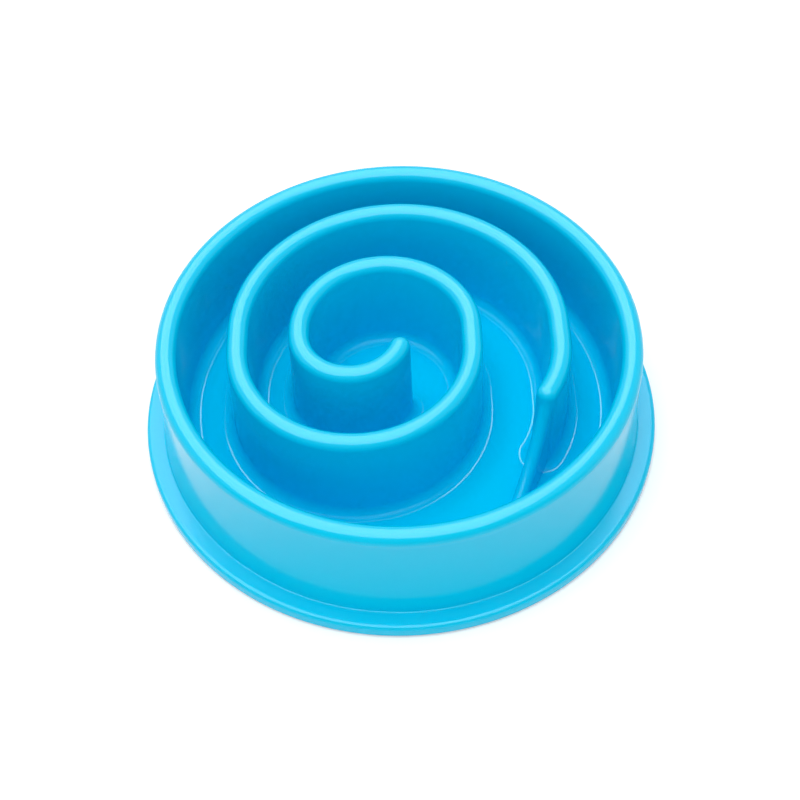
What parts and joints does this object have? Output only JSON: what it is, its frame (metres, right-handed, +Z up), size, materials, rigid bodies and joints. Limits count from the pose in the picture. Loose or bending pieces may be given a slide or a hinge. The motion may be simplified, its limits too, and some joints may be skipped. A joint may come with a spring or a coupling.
{
  "type": "slow feeder bowl",
  "caption": "Round pet bowl with a hollow spiral ridge on its floor that slows eating, a rounded rim, a foot flange all round and push-in rubber feet",
  "frame": {"origin": "on the table under the middle of the bowl", "axes": "+Z up, and the bowl is seen from -Y with the ridge's outer end at the front right, so +X is to the right"},
  "size_m": [0.2, 0.2, 0.05],
  "materials": {
    "bowl": "glossy cyan polypropylene",
    "feet": "matte dark grey"
  },
  "bodies": {
    "root": {"bowl": "bowl", "foot_back_right": "feet", "foot_back_left": "feet", "foot_front_left": "feet", "foot_front_right": "feet"}
  },
  "joints": []
}
